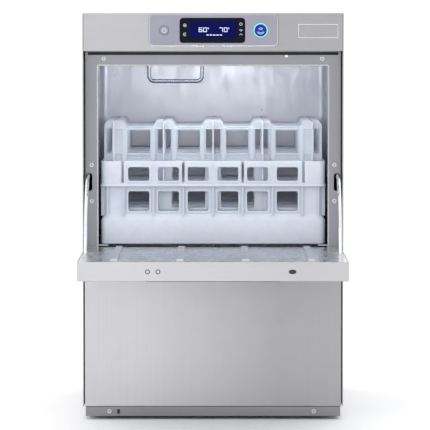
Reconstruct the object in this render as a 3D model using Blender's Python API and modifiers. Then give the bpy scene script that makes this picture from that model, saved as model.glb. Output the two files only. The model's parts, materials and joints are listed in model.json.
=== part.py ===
"""Undercounter glasswasher with a drop-down door, a sliding rack and rotating wash arms.

Every piece is drawn from one datum: X to the right, Y inwards from the cabinet's front plane,
Z up from the underside of the base tray. The door is drawn closed, under an empty on its hinge
axis, and that empty is then turned to hold the door open.
"""
import math

import bmesh
import bpy
from mathutils import Matrix, Vector

# Cabinet, in metres
WIDTH = 0.460
HEIGHT = 0.7115
DEPTH = 0.540           # front plane to the ends of the connections at the back
BACK = 0.528            # outer face of the back panel
FOOT_HEIGHT = 0.006
SHEET = 0.0012
GAP = 0.0003
SIDE_SHEET = 0.0017
INSIDE = WIDTH / 2 - SIDE_SHEET
BASE_TOP = 0.0170
FASCIA_BOTTOM = 0.6445
FASCIA_DEPTH = 0.018

# Door
DOOR_WIDTH = 0.453
DOOR_THICK = 0.0325
DOOR_TOP = 0.641
HINGE_Y = DOOR_THICK / 2
HINGE_Z = 0.28175
DOOR_LENGTH = DOOR_TOP - HINGE_Z
RIB_HEIGHT = 0.0035

# Wash chamber
FRAME_Y = 0.034
FRAME_SHEET = 0.0015
CHAMBER_WIDTH = 0.424
CHAMBER_BACK = 0.446
CHAMBER_FLOOR = 0.225
CHAMBER_CEILING = 0.665
OPENING_X = 0.204
OPENING_LOW = 0.292
OPENING_HIGH = 0.619
ARM_CENTRE_Y = 0.241

# Door arms
ARM_RADIUS = 0.143
ARM_X = 0.220
ARM_ROD = 0.003
ARM_DOOR_END = 93.0     # degrees round the hinge, door closed
ARM_SPRING_END = -13.0
SPRING_HOOK = -15.0
SPRING_CLOSED = 0.250

# Rack
BASKET = 0.398
BASKET_LOW = 0.302
BASKET_HIGH = 0.449
RACK_WALL = 0.0025
CELL = 0.088
DIVIDER_WALL = 0.002
DIVIDER_HIGH = 0.518

FRONT_Y = (DOOR_LENGTH - HINGE_Y - DEPTH) / 2

for old in list(bpy.data.objects):
    bpy.data.objects.remove(old)

parts = bpy.data.collections.new("glasswasher")
cutters = bpy.data.collections.new("cutters")
bpy.context.scene.collection.children.link(parts)
bpy.context.scene.collection.children.link(cutters)

FACE_FRONT = (math.pi / 2, 0, 0)             # local X, Y, Z to X, Z, -Y
FACE_BACK = (-math.pi / 2, 0, 0)             # local Z to +Y
ALONG_X = (0, math.pi / 2, 0)                # local Z to X


def material(name, colour, roughness, metallic=0.0):
    made = bpy.data.materials.new(name)
    made.use_nodes = True
    shader = made.node_tree.nodes["Principled BSDF"]
    shader.inputs["Base Color"].default_value = (*colour, 1)
    shader.inputs["Roughness"].default_value = roughness
    shader.inputs["Metallic"].default_value = metallic
    return made


STEEL = material("brushed_steel", (0.60, 0.60, 0.61), 0.32, 1.0)
POLISHED = material("polished_steel", (0.66, 0.69, 0.74), 0.18, 1.0)
CHROME = material("bright_steel", (0.75, 0.76, 0.78), 0.12, 1.0)
MOTOR = material("motor_grey", (0.22, 0.23, 0.25), 0.55, 0.4)
RACK = material("rack_white", (0.74, 0.77, 0.83), 0.42)
BLACK = material("black_plastic", (0.02, 0.02, 0.022), 0.45)
GREY = material("grey_plastic", (0.52, 0.53, 0.58), 0.40)
BLUE = material("blue_plastic", (0.02, 0.16, 0.55), 0.30)
LIGHT = material("light_ring", (0.62, 0.80, 0.84), 0.30)
GLASS = material("display_glass", (0.01, 0.012, 0.02), 0.08)
RUBBER = material("rubber", (0.03, 0.03, 0.03), 0.80)
BOARD = material("circuit_board", (0.03, 0.20, 0.10), 0.50)
BRASS = material("brass", (0.62, 0.46, 0.20), 0.35, 1.0)

datum = bpy.data.objects.new("datum", None)
datum.location = (0, FRONT_Y, FOOT_HEIGHT)
parts.objects.link(datum)


def axis_empty(name, place):
    """An empty on a joint's axis, for the pieces that move with it."""
    empty = bpy.data.objects.new(name, None)
    empty.location = place
    empty.parent = datum
    parts.objects.link(empty)
    return empty


def add(name, data, finish, place=(0, 0, 0), turn=(0, 0, 0), parent=None):
    """A node, or a cutter or joined shape where finish is None."""
    piece = bpy.data.objects.new(name, data)
    piece.location = place
    piece.rotation_euler = turn
    piece.parent = parent or datum
    if finish is None:
        cutters.objects.link(piece)
        piece.hide_render = True
        piece.display_type = "WIRE"
    else:
        parts.objects.link(piece)
        data.materials.append(finish)
    return piece


def boxes(name, corners, finish=None, parent=None):
    """One mesh of separate boxes, each given by its low and high corner."""
    mesh = bpy.data.meshes.new(name)
    shape = bmesh.new()
    for low, high in corners:
        low, high = Vector(low), Vector(high)
        fit = Matrix.Translation((low + high) / 2) @ Matrix.Diagonal((*(high - low), 1))
        bmesh.ops.create_cube(shape, size=1, matrix=fit)
    shape.to_mesh(mesh)
    shape.free()
    return add(name, mesh, finish, parent=parent)


def block(name, low, high, finish, parent=None, rounded=None, radius=0.0, steps=3):
    """A box whose edges along one axis are rounded."""
    piece = boxes(name, [(low, high)], finish, parent)
    if rounded is not None:
        round_edges(piece.data, rounded, radius, steps)
    return piece


def round_edges(mesh, axis, radius, steps):
    shape = bmesh.new()
    shape.from_mesh(mesh)
    along = "XYZ".index(axis)
    edges = []
    for edge in shape.edges:
        run = edge.verts[1].co - edge.verts[0].co
        if abs(run[along]) > 0.999 * run.length:
            edges.append(edge)
    bmesh.ops.bevel(shape, geom=edges, offset=radius, segments=steps, affect="EDGES", profile=0.5)
    shape.to_mesh(mesh)
    shape.free()
    mesh.shade_smooth()
    mesh.set_sharp_from_angle(angle=math.radians(40))


def open_box(name, low, high, open_towards, finish, wall=SHEET, parent=None, radius=0.0):
    """A folded or moulded pan: a box open on one side, its wall grown inwards."""
    piece = boxes(name, [(low, high)], finish, parent)
    shape = bmesh.new()
    shape.from_mesh(piece.data)
    way = Vector(open_towards)
    mouth = max(shape.faces, key=lambda face: face.normal.dot(way))
    if radius:
        rim = set(mouth.edges)
        back_edges = [edge for edge in shape.edges if edge not in rim]
        bmesh.ops.bevel(shape, geom=back_edges, offset=radius, segments=4, affect="EDGES", profile=0.5)
        mouth = max(shape.faces, key=lambda face: face.calc_center_median().dot(way))
    bmesh.ops.delete(shape, geom=[mouth], context="FACES_ONLY")
    shape.to_mesh(piece.data)
    shape.free()
    thicken(piece, wall)
    return piece


def thicken(piece, wall):
    solidify = piece.modifiers.new("wall", "SOLIDIFY")
    solidify.thickness = wall
    solidify.offset = -1
    solidify.use_even_offset = True
    solidify.use_quality_normals = True


def cylinders(name, places, radius, depth, axis="Z", finish=None, parent=None, sides=20):
    """One mesh of separate cylinders, each given by its centre."""
    mesh = bpy.data.meshes.new(name)
    shape = bmesh.new()
    turns = {"X": Matrix.Rotation(math.pi / 2, 4, "Y"), "Y": Matrix.Rotation(math.pi / 2, 4, "X")}
    for place in places:
        fit = Matrix.Translation(place) @ turns.get(axis, Matrix())
        bmesh.ops.create_cone(
            shape, cap_ends=True, segments=sides, radius1=radius, radius2=radius, depth=depth, matrix=fit)
    shape.to_mesh(mesh)
    shape.free()
    return add(name, mesh, finish, parent=parent)


def combine(piece, other, operation="DIFFERENCE"):
    boolean = piece.modifiers.new(other.name, "BOOLEAN")
    boolean.operation = operation
    boolean.object = other
    return piece


def arc(centre, radius, start, end, steps):
    """Points of an arc in a plane, from start to end degrees."""
    found = []
    for step in range(steps + 1):
        angle = math.radians(start + (end - start) * step / steps)
        found.append((centre[0] + radius * math.cos(angle), centre[1] + radius * math.sin(angle)))
    return found


def circle(centre, radius, steps=20):
    return arc(centre, radius, 0, 360 - 360 / steps, steps - 1)


def rounded(low, high, radius, steps=4):
    """The outline of a rectangle with round corners."""
    outline = []
    corners = ((high[0], high[1], 0), (low[0], high[1], 90), (low[0], low[1], 180), (high[0], low[1], 270))
    for x, y, start in corners:
        centre = (x - math.copysign(radius, x - low[0] - (high[0] - low[0]) / 2),
                  y - math.copysign(radius, y - low[1] - (high[1] - low[1]) / 2))
        outline += arc(centre, radius, start, start + 90, steps)
    return outline


def plate(name, outlines, thickness, finish, place=(0, 0, 0), turn=(0, 0, 0), parent=None):
    """A flat sheet: the first outline is its edge and the others are holes."""
    curve = bpy.data.curves.new(name, "CURVE")
    curve.dimensions = "2D"
    curve.fill_mode = "BOTH"
    curve.extrude = thickness / 2
    for outline in outlines:
        spline = curve.splines.new("POLY")
        spline.points.add(len(outline) - 1)
        for point, (x, y) in zip(spline.points, outline):
            point.co = (x, y, 0, 1)
        spline.use_cyclic_u = True
    return add(name, curve, finish, place, turn, parent)


def tube(name, points, radius, finish, sides=2, parent=None):
    """A rod, wire or pipe along a route; sides is the bevel resolution."""
    curve = bpy.data.curves.new(name, "CURVE")
    curve.dimensions = "3D"
    curve.bevel_depth = radius
    curve.bevel_resolution = sides
    curve.use_fill_caps = True
    spline = curve.splines.new("POLY")
    spline.points.add(len(points) - 1)
    for point, place in zip(spline.points, points):
        point.co = (*place, 1)
    spline.use_smooth = True
    return add(name, curve, finish, parent=parent)


def turned(name, profile, finish, place=(0, 0, 0), turn=(0, 0, 0), parent=None, steps=24, ring=False):
    """A profile of (radius, height) points, from top to bottom of its outer side, turned round Z."""
    mesh = bpy.data.meshes.new(name)
    edges = [(index, index + 1) for index in range(len(profile) - 1)]
    if ring:
        edges.append((len(profile) - 1, 0))
    mesh.from_pydata([(radius, 0, height) for radius, height in profile], edges, [])
    piece = add(name, mesh, finish, place, turn, parent)
    screw = piece.modifiers.new("turn", "SCREW")
    screw.steps = steps
    screw.render_steps = steps
    screw.use_merge_vertices = True
    screw.merge_threshold = 0.00001
    screw.use_smooth_shade = True
    return piece


def mirrored(x, side):
    """An X range on the right, or the same range on the left."""
    return (x[0], x[1]) if side > 0 else (-x[1], -x[0])


SIDES = (("left", -1), ("right", 1))


def make_base():
    stud = 0.005
    foot_places = [(x, y, 0) for y in (0.064, 0.466) for x in (-0.165, 0.165)]
    tray = open_box("base_tray", (-0.225, 0.004, 0), (0.225, BACK - 0.004, BASE_TOP), (0, 0, 1), STEEL, 0.0015)
    combine(tray, cylinders("stud_holes", foot_places, stud + 0.0006, 0.01))
    block("plinth_strip", (-0.225, 0.0005, 0), (0.225, 0.0035, BASE_TOP - GAP), STEEL)
    profile = [(0, 0.030), (stud, 0.030), (stud, -GAP), (0.017, -GAP), (0.019, -0.002),
               (0.019, -FOOT_HEIGHT), (0, -FOOT_HEIGHT)]
    names = ("foot_front_left", "foot_front_right", "foot_rear_left", "foot_rear_right")
    for name, place in zip(names, foot_places):
        turned(name, profile, BLACK, place, steps=20)


def make_casing():
    fold = 0.016
    for name, side in SIDES:
        outer = side * WIDTH / 2
        inner = side * INSIDE
        lip = side * (INSIDE - fold)
        back = BACK - 0.0020
        section = [(outer, 0), (outer, back), (lip, back), (lip, back - 0.0015),
                   (inner, back - 0.0015), (inner, 0)]
        height = HEIGHT - BASE_TOP - 2 * GAP
        plate(f"side_panel_{name}", [section], height, STEEL, (0, 0, BASE_TOP + GAP + height / 2))
    span = INSIDE - GAP
    open_box("top_panel", (-span, FASCIA_DEPTH + GAP, HEIGHT - 0.015), (span, BACK - 0.004, HEIGHT),
             (0, 0, -1), STEEL)
    openings = [rounded((-span, BASE_TOP + GAP), (span, HEIGHT), 0.002, 2)]
    openings.append(circle((0.17, 0.20), 0.0105))
    openings.append(circle((-0.17, 0.12), 0.0125))
    openings.append(circle((-0.10, 0.06), 0.0145))
    for row in range(5):
        z = 0.55 + 0.018 * row
        openings.append(rounded((-0.08, z), (0.08, z + 0.005), 0.0024, 3))
    plate("back_panel", openings, 0.0015, STEEL, (0, BACK - 0.00085, 0), FACE_FRONT)
    open_box("lower_front_panel", (-0.2265, 0, BASE_TOP + GAP), (0.2265, 0.016, 0.256), (0, 1, 0), STEEL)


INSERT = ((-0.112, 0.6535), (0.114, 0.709))
WINDOW = ((-0.0586, 0.6587), (0.0565, 0.7030))
POWER_X = -0.0858
START_X = 0.0837
BUTTON_Z = 0.681


def inset(box, by):
    (x0, z0), (x1, z1) = box
    return (x0 + by, z0 + by), (x1 - by, z1 - by)


def make_controls():
    """Returns the empties that the two push buttons slide on."""
    fascia = open_box("control_fascia", (-INSIDE + GAP, 0, FASCIA_BOTTOM), (INSIDE - GAP, FASCIA_DEPTH, HEIGHT),
                      (0, 1, 0), STEEL)
    (x0, z0), (x1, z1) = inset(INSERT, -GAP)
    combine(fascia, block("insert_opening", (x0, -0.01, z0), (x1, 0.01, z1), None, rounded="Y",
                          radius=0.0083, steps=5))
    holes = [rounded(*INSERT, 0.008, 5), rounded(*WINDOW, 0.006, 4)]
    holes.append(circle((POWER_X, BUTTON_Z), 0.0083, 24))
    holes.append(circle((START_X, BUTTON_Z), 0.0133, 28))
    plate("control_insert", holes, 0.004, GREY, (0, 0.001, 0), FACE_FRONT)
    (x0, z0), (x1, z1) = inset(WINDOW, GAP)
    block("display_window", (x0, -0.0012, z0), (x1, 0.0018, z1), GLASS, rounded="Y", radius=0.0057, steps=4)
    block("display_board", (-0.105, 0.0060, 0.660), (0.105, 0.0076, 0.702), BOARD)
    block("badge_plate", (0.1495, -0.0010, 0.6675), (0.220, -GAP, 0.692), STEEL, rounded="Y", radius=0.002)
    main_board = block("control_board", (-0.185, 0.12, 0.6880), (-0.035, 0.24, 0.6896), BOARD)
    blocks = [((-0.175, 0.13, 0.689), (-0.145, 0.16, 0.704)), ((-0.135, 0.13, 0.689), (-0.115, 0.17, 0.701)),
              ((-0.100, 0.13, 0.689), (-0.055, 0.15, 0.699)), ((-0.170, 0.19, 0.689), (-0.130, 0.23, 0.702)),
              ((-0.110, 0.18, 0.689), (-0.090, 0.22, 0.705))]
    combine(main_board, boxes("board_components", blocks), "UNION")

    power_axis = axis_empty("power_button_axis", (POWER_X, 0, BUTTON_Z))
    start_axis = axis_empty("start_button_axis", (START_X, 0, BUTTON_Z))
    turned("power_button", [(0, 0.0022), (0.0060, 0.0022), (0.0076, 0.0014), (0.0080, 0), (0.0080, -0.004),
                            (0, -0.004)], GREY, turn=FACE_FRONT, parent=power_axis)
    turned("start_button", [(0, 0.0016), (0.0070, 0.0018), (0.0096, 0.0022), (0.0105, 0.0012),
                            (0.0105, -0.004), (0, -0.004)], BLUE, turn=FACE_FRONT, parent=start_axis)
    ring = [(0.0110, 0.0018), (0.0124, 0.0018), (0.0130, 0.0010), (0.0130, -0.002), (0.0108, -0.002),
            (0.0108, 0.0010)]
    turned("start_button_ring", ring, LIGHT, (START_X, 0, BUTTON_Z), FACE_FRONT, steps=28, ring=True)


def make_chamber():
    half = CHAMBER_WIDTH / 2
    front = FRAME_Y + FRAME_SHEET + GAP
    tank = open_box("wash_tank", (-half - SHEET, front, CHAMBER_FLOOR - SHEET),
                    (half + SHEET, CHAMBER_BACK + SHEET, CHAMBER_CEILING + SHEET), (0, -1, 0), POLISHED,
                    radius=0.014)
    centres = [(0, ARM_CENTRE_Y, CHAMBER_FLOOR), (0, ARM_CENTRE_Y, CHAMBER_CEILING)]
    combine(tank, cylinders("spindle_holes", centres, 0.012, 0.02))
    combine(tank, cylinders("suction_hole", [(0.086, 0.300, CHAMBER_FLOOR)], 0.016, 0.02))
    outlines = [rounded((-0.226, 0.258), (0.226, 0.644), 0.002, 2)]
    outlines.append(rounded((-OPENING_X, OPENING_LOW), (OPENING_X, OPENING_HIGH), 0.008, 4))
    for _, side in SIDES:
        x0, x1 = mirrored((0.214, 0.2245), side)
        outlines.append(rounded((x0, 0.397), (x1, 0.428), 0.004, 3))
    plate("front_frame", outlines, FRAME_SHEET, STEEL, (0, FRAME_Y + FRAME_SHEET / 2, 0), FACE_FRONT)
    block("door_seal", (-0.203, FRAME_Y - 0.0013, 0.268), (0.203, FRAME_Y - GAP, 0.288), RUBBER)
    for name, side in SIDES:
        section = [(0.186, 0.2995), (0.2115, 0.2995), (0.2115, 0.318), (0.2100, 0.318), (0.2100, 0.3013),
                   (0.186, 0.3013)]
        section = [(side * x, z) for x, z in section]
        plate(f"rack_rail_{name}", [section], 0.390, STEEL, (0, 0.235, 0), FACE_FRONT)
    filter_outline = rounded((-0.2105, 0.0375), (0.2105, 0.4440), 0.016, 4)
    standpipe = (-0.165, 0.400)
    holes = [circle((0, ARM_CENTRE_Y), 0.0125), circle(standpipe, 0.0165)]
    plate("tank_filter", [filter_outline, *holes], 0.0015, POLISHED, (0, 0, 0.2588))
    pipe = [(0.0115, 0.060), (0.0160, 0.060), (0.0160, 0.058), (0.0140, 0.056), (0.0140, 0.0006),
            (0.0115, 0.0006)]
    turned("standpipe", pipe, GREY, (*standpipe, CHAMBER_FLOOR), steps=20, ring=True)
    loop = [(-0.100, 0.4440, 0.242)]
    for x, y in arc((0, 0.150), 0.100, 180, 360, 14):
        loop.append((x, y, 0.242))
    loop.append((0.100, 0.4440, 0.242))
    tube("tank_heater", loop, 0.0035, CHROME)


def arm_outline(reach, tip, waist, hub):
    """A two-ended spray arm: round hub, tapering blades and round tips."""
    outline = []
    spread = math.degrees(math.asin(waist / hub))
    for turn in (0, 180):
        way = 1 if turn == 0 else -1
        for x, y in arc((reach - tip, 0), tip, -80, 80, 6):
            outline.append((way * x, way * y))
        for x, y in arc((0, 0), hub, spread, 180 - spread, 6):
            outline.append((way * x, way * y))
    return outline


def make_spray(level, base, up):
    """A spindle with its wash arm and rinse arm. Heights run up from the floor or down from the ceiling."""
    bearing = 0.0080
    stem_end = -0.0640 if up > 0 else -0.0230
    heights = [(0, stem_end), (0.0100, stem_end), (0.0100, -0.0010), (0.0150, 0.0005), (0.0150, 0.0020),
               (bearing, 0.0020), (bearing, 0.0150), (0.0120, 0.0155), (0.0120, 0.0178), (bearing, 0.0183),
               (bearing, 0.0280), (0.0120, 0.0285), (0.0120, 0.0305), (0.0080, 0.0320), (0, 0.0320)]
    profile = [(radius, up * height) for radius, height in heights]
    if up > 0:
        profile.reverse()
    place = (0, ARM_CENTRE_Y, base)
    turned(f"{level}_spindle", profile, GREY, place, steps=16)
    arms = (("wash", 0.0023, 0.0145, 0.188, 0.010, 0.013, 0.021),
            ("rinse", 0.0190, 0.0270, 0.184, 0.005, 0.007, 0.013))
    for kind, low, high, reach, tip, waist, hub in arms:
        pivot = axis_empty(f"{level}_{kind}_arm_axis", (0, ARM_CENTRE_Y, base + up * (low + high) / 2))
        outlines = [arm_outline(reach, tip, waist, hub), circle((0, 0), bearing + 0.0005)]
        plate(f"{level}_{kind}_arm", outlines, high - low, POLISHED if kind == "wash" else CHROME, parent=pivot)


def make_pump():
    """The wash pump lies along X under the tank, with its inlet to the right."""
    place = (-0.020, 0.300, 0.085)
    housing = [(0.022, 0.065), (0.022, 0.045), (0.058, 0.045), (0.062, 0.041), (0.062, 0), (0.007, 0),
               (0.007, 0.004), (0.058, 0.004), (0.058, 0.041), (0.018, 0.041), (0.018, 0.065)]
    turned("pump_housing", housing, BLACK, place, ALONG_X, ring=True)
    motor = [(0, -0.035), (0.0065, -0.035), (0.0065, -0.0005), (0.040, -0.0005), (0.052, -0.012),
             (0.052, -0.138), (0.045, -0.150), (0, -0.150)]
    turned("pump_motor", motor, MOTOR, place, ALONG_X)
    pivot = axis_empty("pump_impeller_axis", place)
    wheel = [(0, 0.030), (0.008, 0.030), (0.013, 0.0095), (0.050, 0.0095), (0.050, 0.0065), (0.005, 0.0065),
             (0.005, -0.030), (0, -0.030)]
    impeller = turned("pump_impeller", wheel, GREY, turn=ALONG_X, parent=pivot)
    blades = bpy.data.meshes.new("impeller_blades")
    shape = bmesh.new()
    for index in range(6):
        fit = Matrix.Rotation(math.radians(60 * index), 4, "Z") @ Matrix.Translation((0.031, 0, 0.0185))
        fit = fit @ Matrix.Rotation(math.radians(25), 4, "Z") @ Matrix.Diagonal((0.032, 0.003, 0.021, 1))
        bmesh.ops.create_cube(shape, size=1, matrix=fit)
    shape.to_mesh(blades)
    shape.free()
    combine(impeller, add("impeller_blades", blades, None, turn=ALONG_X, parent=pivot), "UNION")
    bend = [(0.086, 0.300, CHAMBER_FLOOR - SHEET - 0.0004)]
    bend += [(x, 0.300, z) for x, z in arc((0.0455, 0.1255), 0.0405, 0, -90, 8)]
    tube("suction_hose", bend, 0.015, RUBBER)
    riser = [(0, 0.3626, 0.085)]
    riser += [(0, y, z) for y, z in arc((0.455, 0.115), 0.030, -90, 0, 6)]
    riser += [(0, y, z) for y, z in arc((0.460, 0.656), 0.025, 0, 90, 6)]
    riser.append((0, ARM_CENTRE_Y + 0.0115, 0.681))
    tube("wash_riser", riser, 0.0105, RUBBER)


def make_boiler():
    place = (0.025, 0.455, 0.095)
    outer = [(0.030, 0.180), (0.056, 0.178), (0.062, 0.168), (0.062, 0.012), (0.050, 0.002), (0, 0)]
    inner = [(0, 0.002), (0.049, 0.004), (0.060, 0.013), (0.060, 0.167), (0.055, 0.176), (0.030, 0.178)]
    turned("boiler_tank", inner + outer, POLISHED, place, ALONG_X)
    flange = [(0, 0.1875), (0.034, 0.1875), (0.036, 0.1860), (0.036, 0.1803), (0.028, 0.1803), (0.028, 0.172),
              (0, 0.172)]
    heater = turned("boiler_heater", flange, BRASS, place, ALONG_X, steps=20)
    rods = [(0.025 + 0.105, 0.455 + offset, 0.095) for offset in (-0.014, 0.014)]
    combine(heater, cylinders("boiler_rods", rods, 0.0035, 0.150, "X", sides=10), "UNION")


def make_water_parts():
    """Inlet valve, drain pump and spigot, dosers and the cable gland."""
    valve = [(0, 0.070), (0.0105, 0.070), (0.0105, 0.048), (0.016, 0.048), (0.016, 0.040), (0.014, 0.040),
             (0.014, 0.004), (0.012, 0), (0, 0)]
    turned("inlet_valve", valve, GREY, (-0.17, DEPTH - 0.070, 0.12), FACE_BACK, steps=20)
    spigot = [(0, 0.052), (0.010, 0.052), (0.0125, 0.046), (0.0125, 0.030), (0.017, 0.030), (0.017, 0.022),
              (0.0125, 0.022), (0.0125, 0), (0, 0)]
    turned("drain_spigot", spigot, BLACK, (-0.10, DEPTH - 0.052, 0.06), FACE_BACK, steps=20)
    gland = [(0.0045, 0.030), (0.0075, 0.030), (0.0085, 0.020), (0.0085, 0.010), (0.0140, 0.010),
             (0.0140, 0.002), (0.0045, 0.002)]
    turned("cable_gland", gland, BLACK, (0.17, DEPTH - 0.030, 0.20), FACE_BACK, steps=20, ring=True)
    pump = [(0, 0.085), (0.030, 0.085), (0.032, 0.080), (0.032, 0.058), (0.024, 0.056), (0.024, 0.004),
            (0.020, 0), (0, 0)]
    turned("drain_pump", pump, BLACK, (-0.200, 0.430, 0.060), ALONG_X, steps=20)
    for name, x in (("detergent", -0.155), ("rinse_aid", -0.075)):
        half = 0.028
        doser = block(f"{name}_doser", (x - half, 0.060, 0.050), (x + half, 0.100, 0.112), GREY,
                      rounded="Y", radius=0.006)
        centre = (x, 0.060, 0.081)
        combine(doser, cylinders(f"{name}_pocket", [centre], 0.0230, 0.050, "Y", sides=24))
        pivot = axis_empty(f"{name}_rotor_axis", (x, 0.072, 0.081))
        lobes = []
        for index in range(30):
            angle = 2 * math.pi * index / 30
            reach = 0.0155 + 0.0050 * math.cos(3 * angle)
            lobes.append((reach * math.cos(angle), reach * math.sin(angle)))
        plate(f"{name}_rotor", [lobes], 0.018, BLUE if name == "rinse_aid" else RACK, turn=FACE_FRONT,
              parent=pivot)


def make_door():
    """Drawn closed round the hinge axis, then opened with its empty."""
    hinge = axis_empty("door_hinge", (0, HINGE_Y, HINGE_Z))
    half = DOOR_WIDTH / 2
    front, back = -DOOR_THICK / 2, DOOR_THICK / 2
    corner = 0.002
    section = [(back, DOOR_LENGTH)]
    section += arc((front + corner, DOOR_LENGTH - corner), corner, 90, 180, 3)
    section += arc((0, 0), back, 180, 360, 12)
    skin = bpy.data.meshes.new("door_outer_skin")
    shape = bmesh.new()
    cap = shape.faces.new([shape.verts.new((-half, y, z)) for y, z in section])
    moved = bmesh.ops.extrude_face_region(shape, geom=[cap], use_keep_orig=True)
    bmesh.ops.translate(shape, vec=(2 * half, 0, 0),
                        verts=[item for item in moved["geom"] if isinstance(item, bmesh.types.BMVert)])
    bmesh.ops.recalc_face_normals(shape, faces=shape.faces)
    mouth = [face for face in shape.faces if face.normal.y > 0.99 and face.calc_area() > 0.1]
    bmesh.ops.delete(shape, geom=mouth, context="FACES_ONLY")
    shape.to_mesh(skin)
    shape.free()
    outer = add("door_outer_skin", skin, STEEL, parent=hinge)
    thicken(outer, SHEET)
    recess = ((-0.1125, 0.3180), (0.1125, 0.3460))
    (x0, z0), (x1, z1) = recess
    combine(outer, boxes("recess_cut", [((x0, front - 0.01, z0), (x1, front + 0.01, z1))], parent=hinge))
    combine(outer, cylinders("pin_holes", [(0, 0, 0)], 0.0045, 0.5, "X", parent=hinge, sides=16))
    (x0, z0), (x1, z1) = inset(recess, 0.0004)
    open_box("door_handle", (x0, front - 0.0015, z0), (x1, front + 0.0140, z1), (0, -1, 0), BLACK, 0.0016,
             parent=hinge)

    reach = half - SHEET - 0.0005
    inner = block("door_inner_skin", (-reach, back - SHEET, 0.002), (reach, back, DOOR_LENGTH - SHEET - 0.0005),
                  STEEL, parent=hinge)
    arm_holes = [(side * ARM_X, back, 0.142) for _, side in SIDES]
    combine(inner, cylinders("arm_holes", arm_holes, 0.0052, 0.02, "Y", parent=hinge, sides=16))
    ribs = []
    for x in (-0.165, -0.055, 0.055, 0.165):
        ribs.append(((x - 0.006, back - 0.0007, 0.014), (x + 0.006, back + RIB_HEIGHT, 0.334)))
    combine(inner, boxes("rack_ribs", ribs, parent=hinge), "UNION")

    for name, side in SIDES:
        rod = [(side * ARM_X, y, z) for y, z in arc((0, 0), ARM_RADIUS, ARM_DOOR_END, ARM_SPRING_END, 16)]
        tube(f"door_arm_{name}", rod, ARM_ROD, CHROME, parent=hinge)
    hinge.rotation_euler = (math.pi / 2, 0, 0)


def on_arm(angle):
    """The place, in Y and Z, of a point on the door arms' circle."""
    turn = math.radians(angle)
    return Vector((HINGE_Y + ARM_RADIUS * math.cos(turn), HINGE_Z + ARM_RADIUS * math.sin(turn)))


def make_hinges_and_springs():
    hook = on_arm(SPRING_HOOK + 90)
    closed = on_arm(SPRING_HOOK)
    way = (closed - hook).normalized()
    anchor = closed + SPRING_CLOSED * way
    across = Vector((-way.y, way.x))
    turns, a_turn, coil = 12, 6, 0.0048
    wire_end, coil_end = 0.130, (anchor - hook).length - 0.050
    for name, side in SIDES:
        x0, x1 = mirrored((0.2268, 0.2280), side)
        bracket = boxes(f"hinge_bracket_{name}", [((x0, 0.006, 0.262), (x1, 0.075, 0.302))], STEEL)
        pin = cylinders(f"hinge_pin_{name}", [(side * 0.2217, HINGE_Y, HINGE_Z)], 0.0040, 0.0106, "X", sides=16)
        combine(bracket, pin, "UNION")
        route = [(side * 0.2208, *hook)]
        for step in range(turns * a_turn + 1):
            share = step / (turns * a_turn)
            angle = 2 * math.pi * step / a_turn
            centre = hook + way * (wire_end + (coil_end - wire_end) * share)
            centre = centre + across * coil * math.sin(angle)
            route.append((side * (0.2208 + coil * math.cos(angle)), *centre))
        route.append((side * 0.2208, *anchor))
        tube(f"door_spring_{name}", route, 0.0008, CHROME, sides=0)


def make_rack():
    """The rack as its moulded tray and the crossing walls of its divider insert, each a plain thin shell."""
    slide = axis_empty("basket_axis", (0, ARM_CENTRE_Y, BASKET_LOW))
    half = BASKET / 2
    height = BASKET_HIGH - BASKET_LOW
    open_box("basket", (-half, -half, 0), (half, half, height), (0, 0, 1), RACK, RACK_WALL, slide)

    cells = [CELL * (index - 1.5) for index in range(4)]
    edge = 2 * CELL + DIVIDER_WALL / 2
    pocket = (CELL - DIVIDER_WALL) / 2
    outlines = [[(-edge, -edge), (edge, -edge), (edge, edge), (-edge, edge)]]
    for x in cells:
        for y in cells:
            outlines.append([(x - pocket, y - pocket), (x + pocket, y - pocket), (x + pocket, y + pocket),
                             (x - pocket, y + pocket)])
    low, high = RACK_WALL + 3 * GAP, DIVIDER_HIGH - BASKET_LOW
    plate("basket_divider", outlines, high - low, RACK, (0, 0, (low + high) / 2), parent=slide)


make_base()
make_casing()
make_controls()
make_chamber()
make_spray("lower", 0.2645, 1)
make_spray("upper", 0.6575, -1)
make_pump()
make_boiler()
make_water_parts()
make_door()
make_hinges_and_springs()
make_rack()
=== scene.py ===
"""The looks of an undercounter glasswasher: brushed and polished steel, a moulded rack and its divider.

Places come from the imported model. They are given from a datum on the cabinet's front plane:
X to the right, Y inwards from the front plane, Z up from the underside of the base tray.
"""
import json
import math

import bmesh
import bpy
from mathutils import Matrix, Vector


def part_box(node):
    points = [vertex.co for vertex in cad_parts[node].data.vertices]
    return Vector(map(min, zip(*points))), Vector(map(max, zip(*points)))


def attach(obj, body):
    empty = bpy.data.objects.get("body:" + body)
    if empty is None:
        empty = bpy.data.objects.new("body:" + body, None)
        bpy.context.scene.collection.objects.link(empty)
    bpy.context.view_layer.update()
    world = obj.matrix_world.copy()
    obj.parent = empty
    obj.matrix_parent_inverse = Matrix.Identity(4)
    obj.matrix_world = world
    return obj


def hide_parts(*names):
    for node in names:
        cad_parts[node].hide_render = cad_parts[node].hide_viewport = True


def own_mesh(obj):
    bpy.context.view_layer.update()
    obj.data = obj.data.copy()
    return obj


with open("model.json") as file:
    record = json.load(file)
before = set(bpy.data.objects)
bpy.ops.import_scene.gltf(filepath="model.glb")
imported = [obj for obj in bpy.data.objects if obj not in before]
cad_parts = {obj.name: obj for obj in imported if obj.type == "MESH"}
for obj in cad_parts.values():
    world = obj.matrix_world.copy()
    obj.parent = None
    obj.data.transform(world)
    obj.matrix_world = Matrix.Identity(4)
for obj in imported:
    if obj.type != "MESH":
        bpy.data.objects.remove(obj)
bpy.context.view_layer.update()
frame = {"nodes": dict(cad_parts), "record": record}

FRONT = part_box("lower_front_panel")[0][1]
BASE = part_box("base_tray")[0][2]
DATUM = Vector((0, FRONT, BASE))
FLOOR_REACH = 40.0
POCKET_DEPTH = 0.0009        # sunk screws and plug in the door's tip
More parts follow.
